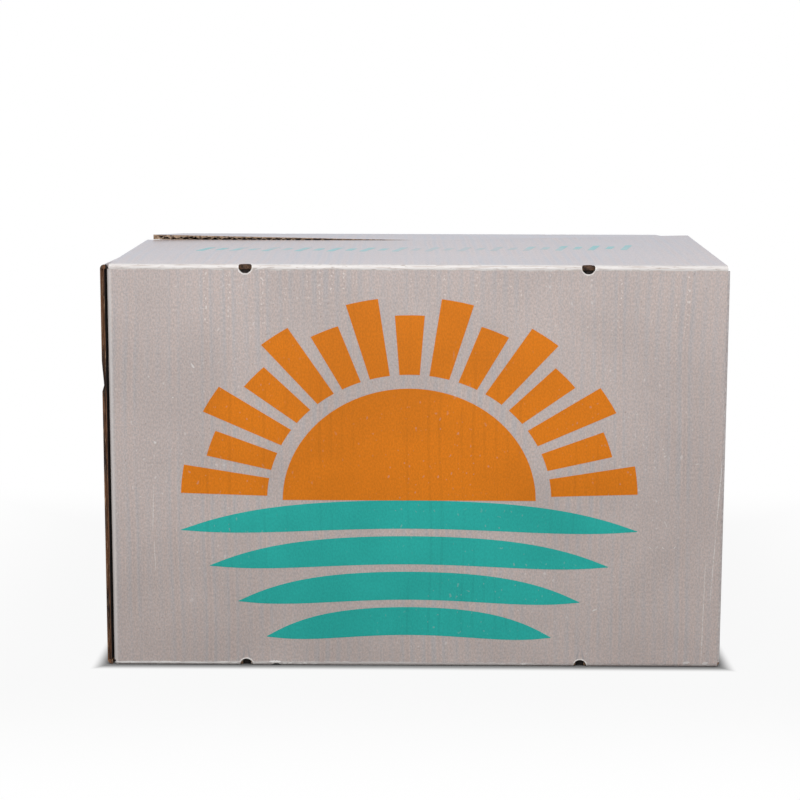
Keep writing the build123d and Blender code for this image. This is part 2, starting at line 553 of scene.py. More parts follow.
@dataclass
class LinerFinish(Finish):
    """A waxed liner with its flutes, mottle and worn folds."""

    warm: Colour
    cool: Colour
    across: Axis
    effects: SharedEffects
    places: Optional[Frame] = None
    coat: float = 0.5
    roughness: Pair = (0.40, 0.54)
    line_shade: Colour = srgb(160, 155, 157)
    # pale worn wax; the same colour paints the highlight on the front panel's left fold
    worn: Colour = srgb(213, 207, 204)
    dry: Colour = srgb(236, 231, 227)
    fleck: Colour = srgb(128, 108, 98)
    swell_weight: float = 1.8
    swell_shift: float = -0.75
    grain_weight: float = 0.7
    line_strength: float = 0.36
    cloud_shades: Pair = (0.95, 1.05)
    fibre_shades: Pair = (0.88, 1.11)
    fleck_strength: float = 0.4
    scuff_strength: float = 0.6
    crease_shade_strength: float = 0.75
    wear_and_highlight_strength: float = 0.85
    ridge_span: Pair = (0.56, 0.8)
    dry_strength: float = 0.5
    dry_depth: float = 0.08
    dry_specks: Grain = Grain(640.0, 1.0, 0.5, (0.59, 0.65), (1.0, 1.0, 0.7))
    flap_margin: float = 1.3
    foot_line: float = 0.0018
    foot_fade: float = 0.0012
    narrow_wear: float = 0.0016
    wide_wear_and_highlight: float = 0.0036
    fibre_relief: float = 0.2
    relief: float = 0.0002

    def build(self, name: str) -> Material:
        """Builds the material.

        Args:
            name: Its name.

        Returns:
            The material.
        """
        graph, place = self.start(name, self.coat, WAX_COAT_ROUGHNESS)
        across = graph.parts(place)[self.across.value]
        flutes = graph.group(self.effects.flutes, Position=place, Across=across)
        wax = graph.group(self.effects.wax, Position=place)
        # the flutes' swell and lines give the liner bands and thin grey lines: partly its own wax tone,
        # partly painted shade of the washboard relief
        band = graph.math("MULTIPLY_ADD", flutes["Swell"], self.swell_weight, self.swell_shift)
        warmth = graph.math("MULTIPLY_ADD", wax["Grain"], self.grain_weight, band)
        colour = graph.mix(warmth, self.cool, self.warm)
        colour = graph.mix(graph.times(flutes["Line"], self.line_strength), colour, self.line_shade)
        cloud = graph.ramp(wax["Cloud"], WHOLE, self.cloud_shades)
        colour = graph.shade(colour, graph.times(cloud, graph.ramp(wax["Fibre"], WHOLE, self.fibre_shades)))
        layers = [
            (wax["Fleck"], self.fleck_strength, self.fleck),
            (graph.most(wax["Scuff"], wax["Chip"]), self.scuff_strength, self.worn),
        ]
        if self.places is not None:
            ridges = graph.ramp(flutes["Swell"], self.ridge_span)
            layers += [
                # darker lines painted as the shade in creases above the drains
                (self._painted_crease_shade(graph, place), self.crease_shade_strength, self.line_shade),
                (self._dry_flecks(graph, place, ridges), self.dry_strength, self.dry),
                (self._wear_and_fold_highlight(graph, place), self.wear_and_highlight_strength, self.worn),
            ]
        for mask, strength, layer in layers:
            colour = graph.mix(graph.times(mask, strength), colour, layer)
        rough = graph.ramp(wax["Cloud"], WHOLE, self.roughness)
        height = graph.math("MULTIPLY_ADD", wax["Fibre"], self.fibre_relief, flutes["Swell"])
        return self.end(graph, colour, rough, height, self.relief)

    def _painted_crease_shade(self, graph: Graph, place: Socket) -> Socket:
        """Painted shade of the faint creases above the front wall's drains.

        Args:
            graph: The material's graph.
            place: Object coordinates.

        Returns:
            A mask of the painted crease shade.
        """
        x, y, z = graph.parts(place)
        wedge = self.effects.wedge
        sides = [graph.math("SUBTRACT", x, drain) for drain in self.places.drains]
        total = graph.most(*[graph.group(wedge, Side=side, Height=z)["Wedge"] for side in sides])
        return graph.times(total, graph.math("LESS_THAN", y, 0.0))

    def _dry_flecks(self, graph: Graph, place: Socket, ridges: Socket) -> Socket:
        """Specks of dry wax on the flutes' ridges, most of them high on the walls.

        Args:
            graph: The material's graph.
            place: Object coordinates.
            ridges: A mask of the ridges.

        Returns:
            A mask of the specks.
        """
        z = graph.parts(place)[Axis.Z.value]
        top = self.places.top
        high = graph.ramp(z, (top - self.dry_depth, top - self.dry_depth / 4))
        on_wall = graph.math("LESS_THAN", z, top - self.flap_margin * self.places.board.thickness)
        specks = graph.times(graph.grain(place, self.dry_specks), ridges)
        return graph.times(specks, graph.times(high, on_wall))

    def _wear_and_fold_highlight(self, graph: Graph, place: Socket) -> Socket:
        """Wear along the box's folds and corners; the pale strip along the front panel's left fold is partly
        wear and partly a painted highlight where the rounded fold catches light.

        Args:
            graph: The material's graph.
            place: Object coordinates.

        Returns:
            A mask of the worn places.
        """
        x, y, z = graph.parts(place)
        spot = self.places
        from_long_wall = graph.math("SUBTRACT", spot.rear, graph.math("ABSOLUTE", y))
        from_front = graph.math("SUBTRACT", y, spot.front)
        from_right = graph.math("SUBTRACT", spot.right, x)
        rightward = graph.ramp(x, (spot.left / 3, spot.right), (0.0, self.foot_fade))
        from_foot = graph.math("ADD", graph.apart(z, self.foot_line), rightward)
        folds = (
            (from_right, from_long_wall, self.narrow_wear, 1.0),
            # strip along the front panel's left fold: partly worn wax, partly a painted highlight on the
            # rounded fold
            (graph.apart(x, spot.panel_left), from_front, self.wide_wear_and_highlight, 0.2),
            (from_foot, from_long_wall, self.narrow_wear, 0.8),
            (graph.apart(z, spot.top), from_long_wall, self.wide_wear_and_highlight, 0.7),
        )
        masks = []
        for first, second, reach, rag in folds:
            inputs = {"Position": place, "Distance": graph.most(first, second), "Reach": reach, "Rag": rag}
            masks.append(graph.group(self.effects.wear_and_highlight_group, **inputs)["Wear"])
        return graph.most(*masks)


@dataclass
class CutFinish(Finish):
    """Board that is cut or torn through: brown fibre with pale and crushed spots."""

    base: Colour
    dark: Colour
    pale: Colour
    stretch: Triple = EVEN
    crush: Grain = Grain(320.0, span=(0.42, 0.66))
    fibre: Grain = Grain(1000.0, 3.0, 0.6, (0.54, 0.72))
    pale_strength: float = 0.75
    relief: float = 0.0003

    def build(self, name: str) -> Material:
        """Builds the material.

        Args:
            name: Its name.

        Returns:
            The material.
        """
        graph, place = self.start(name)
        along = graph.stretch(place, self.stretch)
        fibre = graph.noise(along, self.fibre)
        crush = graph.noise(along, self.crush)
        colour = graph.mix(graph.ramp(crush, self.crush.span), self.base, self.dark)
        colour = graph.mix(graph.ramp(fibre, self.fibre.span, (0.0, self.pale_strength)), colour, self.pale)
        return self.end(graph, colour, graph.ramp(crush, NOISE_SPAN, PAPER_ROUGHNESS), fibre, self.relief)


@dataclass
class FluteMouthFinish(Finish):
    """A cut edge across the flutes: the wave of the medium between two liners, over hollow cells whose shade
    is painted near black.
    """

    board: Board
    edge_top: float
    paper: Colour = srgb(146, 110, 80)
    # near-black painted shade inside the open flute cells
    cell: Colour = srgb(38, 26, 19)
    medium_span: Pair = (0.75, 0.35)
    liner_span: Pair = (0.92, 1.02)
    fibre: Grain = Grain(800.0, 3.0, 0.6, (0.4, 0.7))
    fibre_strength: float = 0.5
    relief: float = 0.0008

    def build(self, name: str) -> Material:
        """Builds the material.

        Args:
            name: Its name.

        Returns:
            The material.
        """
        graph, place = self.start(name)
        _, y, z = graph.parts(place)
        core = self.board.thickness / 2 - self.board.liner
        middle = self.edge_top - self.board.thickness / 2
        level = graph.math("DIVIDE", graph.math("SUBTRACT", z, middle), core)
        wave = graph.math("SINE", graph.times(y, 2 * math.pi / self.board.flute_pitch))
        medium = graph.ramp(graph.apart(level, wave), self.medium_span)
        sheet = graph.most(medium, graph.ramp(graph.math("ABSOLUTE", level), self.liner_span))
        fibre = graph.noise(place, self.fibre)
        dark = graph.ramp(fibre, self.fibre.span, (0.0, self.fibre_strength))
        colour = graph.mix(sheet, self.cell, graph.mix(dark, self.paper, self.cell))
        return self.end(graph, colour, graph.ramp(fibre, NOISE_SPAN, PAPER_ROUGHNESS), sheet, self.relief)


@dataclass
class InkFinish(Finish):
    """Flexographic ink on the outer liner, thinner between the flutes and missing in flecks."""

    ink: Colour
    bare: Colour
    effects: SharedEffects
    coat: float = 0.0
    specular: float = 0.22
    missing: float = 0.0
    line_shades: Pair = (1.01, 0.93)
    cloud_shades: Pair = (0.94, 1.06)
    fibre_shades: Pair = (0.93, 1.06)
    fleck_strength: float = 0.28
    thin_span: Pair = (0.2, 0.8)
    roughness: Pair = (0.42, 0.56)
    fibre_relief: float = 0.25
    relief: float = 0.00012

    def build(self, name: str) -> Material:
        """Builds the material.

        Args:
            name: Its name.

        Returns:
            The material.
        """
        graph, place = self.start(name, self.coat, WAX_COAT_ROUGHNESS)
        self.shader.inputs["Specular IOR Level"].default_value = self.specular
        across = graph.parts(place)[Axis.X.value]
        flutes = graph.group(self.effects.flutes, Position=place, Across=across)
        wax = graph.group(self.effects.wax, Position=place)
        cloud = graph.ramp(wax["Cloud"], WHOLE, self.cloud_shades)
        factor = graph.times(graph.ramp(flutes["Line"], WHOLE, self.line_shades), cloud)
        factor = graph.times(factor, graph.ramp(wax["Fibre"], WHOLE, self.fibre_shades))
        flecks = graph.times(graph.most(wax["Chip"], wax["Scuff"]), self.fleck_strength)
        missed = graph.most(flecks, graph.ramp(wax["Cloud"], self.thin_span, (0.0, self.missing)))
        colour = graph.mix(missed, graph.shade(self.ink[:3], factor), self.bare)
        rough = graph.ramp(wax["Cloud"], WHOLE, self.roughness)
        height = graph.math("MULTIPLY_ADD", wax["Fibre"], self.fibre_relief, flutes["Swell"])
        return self.end(graph, colour, rough, height, self.relief)


@dataclass
class CrackedWaxFinish(Finish):
    """Wax that a fold has whitened and broken into short cracks."""

    wax: Colour = srgb(212, 207, 204)
    board: Colour = srgb(186, 175, 169)
    crack: Colour = srgb(140, 118, 104)
    streaks: Grain = Grain(800.0, 2.0, 0.6, (0.52, 0.62), (0.05, 1.0, 1.0))
    chips: Grain = Grain(330.0, 3.0, 0.6, (0.58, 0.68), (0.25, 1.0, 1.0))
    cracks: Grain = Grain(1500.0, 2.0, 0.5, (0.62, 0.7), (0.12, 1.0, 1.0))
    strengths: Triple = (0.75, 0.6, 0.7)
    coat: float = 0.1
    coat_roughness: float = 0.35
    roughness: Pair = (0.4, 0.6)
    relief: float = 0.0002

    def build(self, name: str) -> Material:
        """Builds the material.

        Args:
            name: Its name.

        Returns:
            The material.
        """
        graph, place = self.start(name, self.coat, self.coat_roughness)
        grains = (self.streaks, self.chips, self.cracks)
        values = [graph.noise(place, grain) for grain in grains]
        colour = self.wax
        layers = zip(values, grains, self.strengths, (self.board, self.board, self.crack))
        for value, grain, strength, layer in layers:
            colour = graph.mix(graph.ramp(value, grain.span, (0.0, strength)), colour, layer)
        rough = graph.ramp(values[1], NOISE_SPAN, self.roughness)
        return self.end(graph, colour, rough, values[0], self.relief)


@dataclass(frozen=True)
class Finishes:
    """Every material of the box."""

    skins: dict[Skin, Material]
    orange_ink: Material
    teal_ink: Material
    faded_teal_ink: Material
    cracked_wax: Material
    pale_rim: Material
    chipped_wax: Material

    @classmethod
    def build(cls, places: Frame) -> "Finishes":
        """Makes the materials.

        Args:
            places: Places of the box.

        Returns:
            The finishes.
        """
        effects = SharedEffects.build(places.board)
        outer = (srgb(193, 175, 167), srgb(178, 170, 169))
        inner = (srgb(156, 120, 88), srgb(140, 106, 78))
        kraft = {"line_shade": srgb(122, 90, 64), "worn": srgb(184, 154, 124), "fleck": srgb(104, 74, 52)}
        end_flap_top = places.top - places.board.thickness - places.board.end_flap_clearance
        along_z = (1.0, 1.0, 0.1)
        skins = {
            Skin.OUTER_ACROSS_X: LinerFinish(*outer, Axis.X, effects, places),
            Skin.OUTER_ACROSS_Y: LinerFinish(*outer, Axis.Y, effects, places),
            Skin.INNER_ACROSS_X: LinerFinish(*inner, Axis.X, effects, **kraft),
            Skin.INNER_ACROSS_Y: LinerFinish(*inner, Axis.Y, effects, **kraft),
            Skin.CUT: CutFinish(srgb(110, 73, 47), srgb(40, 25, 17), srgb(182, 150, 120), along_z),
            Skin.TORN: CutFinish(srgb(156, 130, 106), srgb(82, 60, 44), srgb(206, 192, 176)),
            # near-black board: painted shade in the holes, on the end flaps' side edges, in the lapped
            # joint's gap and on the flaps' hidden edges
            Skin.PUNCHED: CutFinish(srgb(30, 20, 14), srgb(12, 8, 6), srgb(72, 52, 38)),
            Skin.FLUTE_MOUTHS: FluteMouthFinish(places.board, end_flap_top),
            # darker kraft for faces inside the flute cells and in the flaps' holes: the medium's own brown
            # with painted shade
            Skin.FLUTE_CELL: CutFinish(srgb(84, 58, 40), srgb(34, 22, 15), srgb(132, 100, 74)),
        }
        others = {
            "orange_ink": InkFinish(srgb(214, 119, 12), outer[1], effects),
            "teal_ink": InkFinish(srgb(38, 168, 159), outer[1], effects),
            "faded_teal_ink": InkFinish(srgb(98, 174, 168), outer[1], effects, 0.5, 0.5, 0.8),
            "cracked_wax": CrackedWaxFinish(),
            "pale_rim": CrackedWaxFinish(srgb(226, 221, 217), srgb(202, 193, 186), srgb(140, 116, 100)),
            "chipped_wax": CrackedWaxFinish(srgb(248, 245, 242), srgb(222, 215, 210), srgb(150, 130, 116)),
        }
        built = {name: finish.build(name) for name, finish in others.items()}
        return cls({skin: finish.build(skin.value) for skin, finish in skins.items()}, **built)


def make_piece(name: str, mesh: Mesh, material: Material, smooth: bool = False) -> Piece:
    """Turns a finished bmesh into an object at the origin.

    Args:
        name: Name of the piece.
        mesh: Its mesh, which is freed.
        material: Its material.
        smooth: Whether faces are shaded smooth.

    Returns:
        The object, not yet riding on a body.
    """
    bmesh.ops.recalc_face_normals(mesh, faces=mesh.faces)
    for face in mesh.faces:
        face.smooth = smooth
    for edge in mesh.edges:
        edge.smooth = edge.calc_face_angle(math.pi) < SHARP_ANGLE
    data = bpy.data.meshes.new(name)
    mesh.to_mesh(data)
    mesh.free()
    data.materials.append(material)
    piece = bpy.data.objects.new(name, data)
    bpy.context.scene.collection.objects.link(piece)
    LOG.info("%s: %d faces", name, len(data.polygons))
    return piece


def surface(node: str) -> BVHTree:
    """The surface of a modelled sheet.

    Args:
        node: The sheet's node.

    Returns:
        A tree to cast rays at.
    """
    data = frame["nodes"][node].data
    return BVHTree.FromPolygons([v.co for v in data.vertices], [p.vertices for p in data.polygons])


def grow(mesh: Mesh, faces: list[Face]) -> list[Vert]:
    """Extrudes faces in place.

    Args:
        mesh: Their mesh.
        faces: Faces that hang together.

    Returns:
        The new vertices, which still have to be moved.
    """
    made = bmesh.ops.extrude_face_region(mesh, geom=faces)
    return [item for item in made["geom"] if isinstance(item, Vert)]


def faces_among(mesh: Mesh, verts: Iterable[Vert]) -> list[Face]:
    """The faces of a mesh between some of its vertices.

    Args:
        mesh: The mesh.
        verts: The vertices.

    Returns:
        The faces, in the mesh's order.
    """
    chosen = set(verts)
    return [face for face in mesh.faces if chosen.issuperset(face.verts)]


def thicken(mesh: Mesh, shift: Vector) -> None:
    """Makes a closed plate of a flat sheet, by the shift from it to the plate's other face."""
    bmesh.ops.translate(mesh, verts=grow(mesh, mesh.faces[:]), vec=shift)


@dataclass
class DressedSheet:
    """A sheet of the modelled box, whose faces get the skins that the board shows there."""

    node: str
    places: Frame
    finishes: Finishes
    steep: float = 0.3
    square: float = 0.9
    flush: float = 0.95
    seam_reach: float = 0.002

    def choose(self, at: Vector, normal: Vector, tree: BVHTree) -> Skin:
        """Picks the skin of a face from its middle, its normal and the sheet's tree."""
        raise NotImplementedError

    def dress(self) -> None:
        """Gives every face its skin."""
        data = frame["nodes"][self.node].data
        data.materials.clear()
        order = list(self.finishes.skins)
        for skin in order:
            data.materials.append(self.finishes.skins[skin])
        tree = surface(self.node)
        for face in data.polygons:
            face.material_index = order.index(self.choose(face.center, face.normal, tree))
        LOG.info("%s: dressed %d faces", self.node, len(data.polygons))


@dataclass
class Carton(DressedSheet):
    """The box body: walls, lapped joint, bottom and tucked end flaps."""

    fold_zone: float = 0.009
    mostly: float = 0.7
    lap_margin: float = 0.0005
    skin_margin: float = 0.0001
    flap_side_band: Pair = (0.008, 0.001)
    lap_gap_half: float = 0.0022
    lap_gap_depth: float = 0.02
    crush_depth: float = 0.008
    crush_lean: Pair = (0.05, 0.5)
    hole_margin: float = 0.0003
    hole_depth: float = 0.004
    hole_lean: float = 0.12
    flat: float = 0.98

    def choose(self, at: Vector, normal: Vector, tree: BVHTree) -> Skin:
        """Picks the skin of a face of the body.

        Args:
            at: The face's middle.
            normal: Its normal.
            tree: Not used.

        Returns:
            The skin.
        """
        spot, board = self.places, self.places.board
        half = board.thickness / 2
        side_y = math.copysign(1, at.y)
        leans_in = normal.z > self.steep and normal.y * side_y < -self.steep
        if leans_in and at.z > spot.top - board.thickness:
            return Skin.INNER_ACROSS_X
        # faces where little light reaches get the near-black board of painted shade
        if self._is_painted_shade(at, normal):
            return Skin.PUNCHED
        if self._is_cut(at, normal):
            return Skin.CUT
        if abs(normal.x) > self.square and abs(at.x) < spot.right / 4 and at.z > spot.top / 2:
            return Skin.FLUTE_MOUTHS
        if abs(at.x) > spot.right - half and normal.x * at.x > 0 and abs(normal.x) > self.steep:
            return Skin.OUTER_ACROSS_Y
        outside_y = abs(at.y) > spot.rear - half and normal.y * side_y > self.steep
        if outside_y or (at.z < half and normal.z < -self.steep):
            return Skin.OUTER_ACROSS_X
        if normal.z > self.steep and at.z > spot.top - self.fold_zone:
            return Skin.OUTER_ACROSS_Y
        end_flap_under = at.z > spot.top / 2 and normal.z < -self.mostly
        across_y = abs(normal.x) > self.mostly or end_flap_under or normal.z > self.mostly
        return Skin.INNER_ACROSS_Y if across_y else Skin.INNER_ACROSS_X

    def _is_cut(self, at: Vector, normal: Vector) -> bool:
        """Whether a face lies on the left wall's cut edge or on the seam below.

        Args:
            at: The face's middle.
            normal: Its normal.

        Returns:
            Whether it does.
        """
        spot, board = self.places, self.places.board
        left_edge = at.x < spot.panel_left - self.lap_margin and at.y < spot.front + board.cut_edge_depth
        if left_edge and at.x > spot.left + self.skin_margin and abs(normal.z) < self.square:
            return True
        return abs(normal.y) > self.square and abs(at.y) < self.seam_reach

    def _is_painted_shade(self, at: Vector, normal: Vector) -> bool:
        """Whether a face gets the near-black board of painted shade: in a punched hole, on an end flap's
        side edge, on the crushed slope or in the lapped joint's gap, where little light reaches.

        Args:
            at: The face's middle.
            normal: Its normal.

        Returns:
            Whether it does.
        """
        spot, board = self.places, self.places.board
        wall_inner = spot.rear - board.thickness
        far, near = self.flap_side_band
        flap_side = abs(normal.y) > self.square and wall_inner - far < abs(at.y) < wall_inner - near
        by_lap = abs(at.x - spot.panel_left) < self.lap_gap_half and at.y < spot.front + self.lap_gap_depth
        low, high = self.crush_lean
        crushed = at.x < spot.panel_left and at.y < spot.front + self.crush_depth and normal.x > high
        if flap_side or (by_lap and abs(normal.x) > self.flush) or (crushed and low < -normal.y < high):
            return True
        holes = spot.vents if at.z > spot.top / 2 else (*spot.drains, spot.low_drain)
        near_hole = min(abs(at.x - x) for x in holes) < board.vent_radius + self.hole_margin
        near_fold = min(at.z, spot.top - at.z) < self.fold_zone and abs(at.y) > wall_inner - self.hole_depth
        flat = max(abs(part) for part in normal) > self.flat
        return near_hole and near_fold and not flat and abs(normal.x) > self.hole_lean


@dataclass
class TopFlap(DressedSheet):
    """An outer top flap with open flutes, and the whitened fold that joins it to its wall."""

    body: str = ""
    side: int = -1
    fold_name: str = ""
    level_lean: float = 0.2
    square_lean: float = 0.1
    off_skin: float = 0.00001
    crease_wall_reach: float = 0.0008
    crease_flap_reach: float = 0.0004
    crease_lift: float = 0.00007
    crease_sink: float = 0.00005
    crease_rag: float = 0.0007
    crease_depth: float = 0.00016
    crease_step: float = 0.0014
    crease_rows: int = 16
    crease_waves: float = 70.0
    crease_seed: float = 7.3
    crease_octaves: tuple[float, float, int] = (0.8, 2.2, 4)
    crease_roundness: int = 8

    def choose(self, at: Vector, normal: Vector, tree: BVHTree) -> Skin:
        """Picks the skin of a face of the flap.

        Args:
            at: The face's middle.
            normal: Its normal.
            tree: The flap's tree.

        Returns:
            The skin.
        """
        spot = self.places
        hinge = spot.hinges[self.body]
        inward = (at.y - hinge.y) * -self.side
        square_y = abs(normal.y) > self.square
        if abs(normal.x) > self.flush or (abs(at.y) < self.seam_reach and square_y):
            return Skin.TORN
        # faces that look onto board within one thickness sit inside a flute cell and get darker kraft,
        # painted shade
        blocked = tree.ray_cast(at + normal * self.off_skin, normal, spot.board.thickness)[0] is not None
        cap = square_y and inward > spot.board.fold_radius
        if cap or (blocked and inward > spot.board.thickness):
            return Skin.FLUTE_CELL
        if normal.z > self.steep and abs(normal.x) < self.level_lean:
            return Skin.OUTER_ACROSS_X
        mitre = normal.z < -self.steep and normal.y * self.side > self.steep
        if normal.z < -self.flush or (mitre and abs(normal.x) < self.square_lean):
            return Skin.INNER_ACROSS_X
        # the flap's remaining edge faces get the near-black board of painted shade
        return Skin.FLUTE_CELL if abs(normal.x) > self.square_lean else Skin.PUNCHED

    def build_fold(self) -> Piece:
        """Builds the whitened, ragged crease over the fold, broken by the vents.

        Returns:
            The crease, over the fold.
        """
        spot, board = self.places, self.places.board
        low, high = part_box(self.node)
        stops = [low.x, *spot.vents, high.x]
        mesh = bmesh.new()
        for index, ends in enumerate(zip(stops, stops[1:])):
            self._crease_span(mesh, ends, (index > 0, index < len(stops) - 2))
        piece = make_piece(self.fold_name, mesh, self.finishes.cracked_wax, smooth=True)
        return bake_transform(piece)

    def _crease_span(self, mesh: Mesh, ends: Pair, vents: tuple[bool, bool]) -> None:
        """Adds one stretch of the crease.

        Args:
            mesh: The crease's mesh.
            ends: X where the stretch starts and ends, at a vent's middle where one bounds it.
            vents: Whether a vent bounds its start and its end.
        """
        board = self.places.board
        start, end = ends
        columns = max(2, int((end - start) / self.crease_step))
        made = bmesh.ops.create_grid(mesh, x_segments=columns, y_segments=self.crease_rows, size=1.0)
        arc = board.fold_radius * math.pi / 2
        for vert in made["verts"]:
            along, over = (vert.co.x + 1) / 2, (vert.co.y + 1) / 2
            x = start + along * (end - start)
            place = (x * self.crease_waves, self.side * self.crease_seed, 0.0)
            wave = noise.fractal(place, *self.crease_octaves)
            foot = self.crease_wall_reach + self.crease_rag * wave
            run = over * (foot + arc + self.crease_flap_reach) - foot
            chord = board.vent_radius**2 - (run - arc / 2 + board.vent_shift) ** 2
            gap = math.sqrt(max(chord, 0.0))
            first = start + gap * vents[0]
            last = end - gap * vents[1]
            vert.co = self._on_fold(first + along * (last - first), run, over)
        for vert in grow(mesh, faces_among(mesh, made["verts"])):
            vert.co = self._into_board(vert.co)

    def _on_fold(self, x: float, run: float, over: float) -> Vector:
        """A point on the crease's skin, proud of the fold and sunk into the board along its sides.

        Args:
            x: Place along the fold.
            run: Length up the wall and over the bend, from where the bend starts.
            over: The same as a share of the crease's width.

        Returns:
            The point.
        """
        hinge = self.places.hinges[self.body]
        radius = self.places.board.fold_radius
        side = abs(2 * over - 1) ** self.crease_roundness
        lift = self.crease_lift - (self.crease_lift + self.crease_sink) * side
        turn = min(max(run / radius, 0.0), math.pi / 2)
        inward = radius - (radius + lift) * math.cos(turn) + max(run - radius * math.pi / 2, 0.0)
        drop = radius - (radius + lift) * math.sin(turn) - min(run, 0.0)
        return Vector((x, hinge.y - self.side * inward, hinge.z - drop))

    def _into_board(self, point: Vector) -> Vector:
        """A point of the crease's skin moved into the board, square to the fold.

        Args:
            point: The point.

        Returns:
            The point inside the board.
        """
        hinge = self.places.hinges[self.body]
        radius = self.places.board.fold_radius
        inward = max((hinge.y - point.y) * self.side, radius)
        drop = max(hinge.z - point.z, radius)
        axis = Vector((point.x, hinge.y - self.side * inward, hinge.z - drop))
        return point - (point - axis).normalized() * self.crease_depth


@dataclass
class FrontPrint:
    """The two-colour print on the front wall: a rising sun with rays over arched furrows."""

    places: Frame
    finishes: Finishes
    middle_x: float = -0.0035
    horizon_z: float = 0.124
    sun_radius: float = 0.082
    ray_start: float = 0.092
    ray_lengths: Pair = (0.148, 0.135)
    ray_count: int = 15
    ray_share: float = 0.68
    fan_stretch: float = 1.12
    furrow_count: int = 4
    furrow_pitch: float = 0.0265
    furrow_thickness: float = 0.021
    furrow_arch: float = 0.012
    furrow_half_lengths: Pair = (0.166, 0.104)
    furrow_start: float = 0.62
    furrow_blunt: float = 0.02
    furrow_steps: int = 48
    disc_steps: int = 96
    ray_steps: int = 8
    proud: float = 0.00008
    sunk: float = 0.00005

    def build(self) -> list[Piece]:
        """Builds both inks.

        Returns:
            The printed plates, riding on the box.
        """
        return [
            self._finish("print_sun", self._sun(), self.finishes.orange_ink),
            self._finish("print_furrows", self._furrows(), self.finishes.teal_ink),
        ]

    def _finish(self, name: str, mesh: Mesh, material: Material) -> Piece:
        """Lays flat shapes, drawn in X and Z about the sun's middle, on the front wall.

        Args:
            name: The piece's name.
            mesh: The flat shapes.
            material: The ink.

        Returns:
            The piece.
        """
        place = Vector((self.middle_x, self.places.front + self.sunk, self.horizon_z))
        bmesh.ops.translate(mesh, verts=mesh.verts, vec=place)
        thicken(mesh, Vector((0, -self.sunk - self.proud, 0)))
        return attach(make_piece(name, mesh, material), "box")

    def _sun(self) -> Mesh:
        """The half disc and its rays.

        Returns:
            The flat shapes.
        """
        mesh = bmesh.new()
        upright = Matrix.Rotation(math.pi / 2, 3, "X")
        steps, radius = self.disc_steps, self.sun_radius
        disc = bmesh.ops.create_circle(mesh, cap_ends=True, segments=steps, radius=radius)
        bmesh.ops.rotate(mesh, verts=disc["verts"], cent=(0, 0, 0), matrix=upright)
        whole = mesh.verts[:] + mesh.edges[:] + mesh.faces[:]
        bmesh.ops.bisect_plane(mesh, geom=whole, plane_co=(0, 0, 0), plane_no=(0, 0, 1), clear_inner=True)
        slot = math.pi / self.ray_count
        for index in range(self.ray_count):
            reach = self.ray_lengths[index % 2]
            start = slot * (index + (1 - self.ray_share) / 2)
            self._ray(mesh, start, slot * self.ray_share, reach)
        bmesh.ops.scale(mesh, verts=mesh.verts, vec=(self.fan_stretch, 1, 1))
        return mesh

    def _ray(self, mesh: Mesh, start: float, width: float, reach: float) -> None:
        """Adds one ray, widening outwards.

        Args:
            mesh: The sun's mesh.
            start: Angle where it starts, up from +X.
            width: Angle that it covers.
            reach: Distance of its tip from the sun's middle.
        """
        inner, outer = mesh.verts.new((self.ray_start, 0, 0)), mesh.verts.new((reach, 0, 0))
        edge = mesh.edges.new((inner, outer))
        turn = Matrix.Rotation(-start, 3, "Y")
        bmesh.ops.rotate(mesh, verts=[inner, outer], cent=(0, 0, 0), matrix=turn)
        swept = [inner, outer, edge]
        about = {"cent": (0, 0, 0), "axis": (0, -1, 0), "angle": width}
        bmesh.ops.spin(mesh, geom=swept, steps=self.ray_steps, use_merge=False, **about)

    def _furrows(self) -> Mesh:
        """Arched bands that taper to their ends, shorter towards the foot.

        Returns:
            The flat shapes.
        """
        mesh = bmesh.new()
        longest, shortest = self.furrow_half_lengths
        for index in range(self.furrow_count):
            share = index / (self.furrow_count - 1)
            half = longest + (shortest - longest) * share
            level = -self.furrow_pitch * (index + self.furrow_start)
            made = bmesh.ops.create_grid(mesh, x_segments=self.furrow_steps, y_segments=1, size=1.0)
            for vert in made["verts"]:
                along, across = vert.co.x, vert.co.y
                taper = max(1 - along**4, self.furrow_blunt)
                lift = self.furrow_arch * (0.5 - along**2)
                side = across * taper * self.furrow_thickness / 2
                vert.co = Vector((along * half, 0, level + lift + side))
        return mesh


@dataclass
class FlapPrint:
    """A row of slanted dashes, long and short in turn, printed across the front top flap."""

    places: Frame
    finishes: Finishes
    count: int = 27
    middle_x: float = 0.001
    span: float = 0.338
    setback: float = 0.118
    lengths: Pair = (0.03, 0.016)
    width: float = 0.0052
    slant: float = 0.25
    steps: tuple[int, int] = (2, 6)
    proud: float = 0.00008
    sunk: float = 0.00005

    def build(self) -> Piece:
        """Builds the row, draped on the sprung flap.

        Returns:
            The piece, riding on the flap.
        """
        tree = surface("front_top_flap")
        mesh = bmesh.new()
        columns, rows = self.steps
        pitch = self.span / self.count
        for index in range(self.count):
            x = self.middle_x + (index + 0.5 - self.count / 2) * pitch
            length = self.lengths[index % 2]
            made = bmesh.ops.create_grid(mesh, x_segments=columns, y_segments=rows, size=0.5)
            for vert in made["verts"]:
                across, along = vert.co.x, vert.co.y
                place = (
                    x + across * self.width + along * length * self.slant,
                    self.places.front + self.setback + along * length,
                    self.places.top * 2,
                )
                hit = tree.ray_cast(Vector(place), DOWN)[0]
                vert.co = hit - Vector((0, 0, self.sunk))
        thicken(mesh, Vector((0, 0, self.sunk + self.proud)))
        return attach(make_piece("print_flap_bars", mesh, self.finishes.faded_teal_ink), "front_flap")


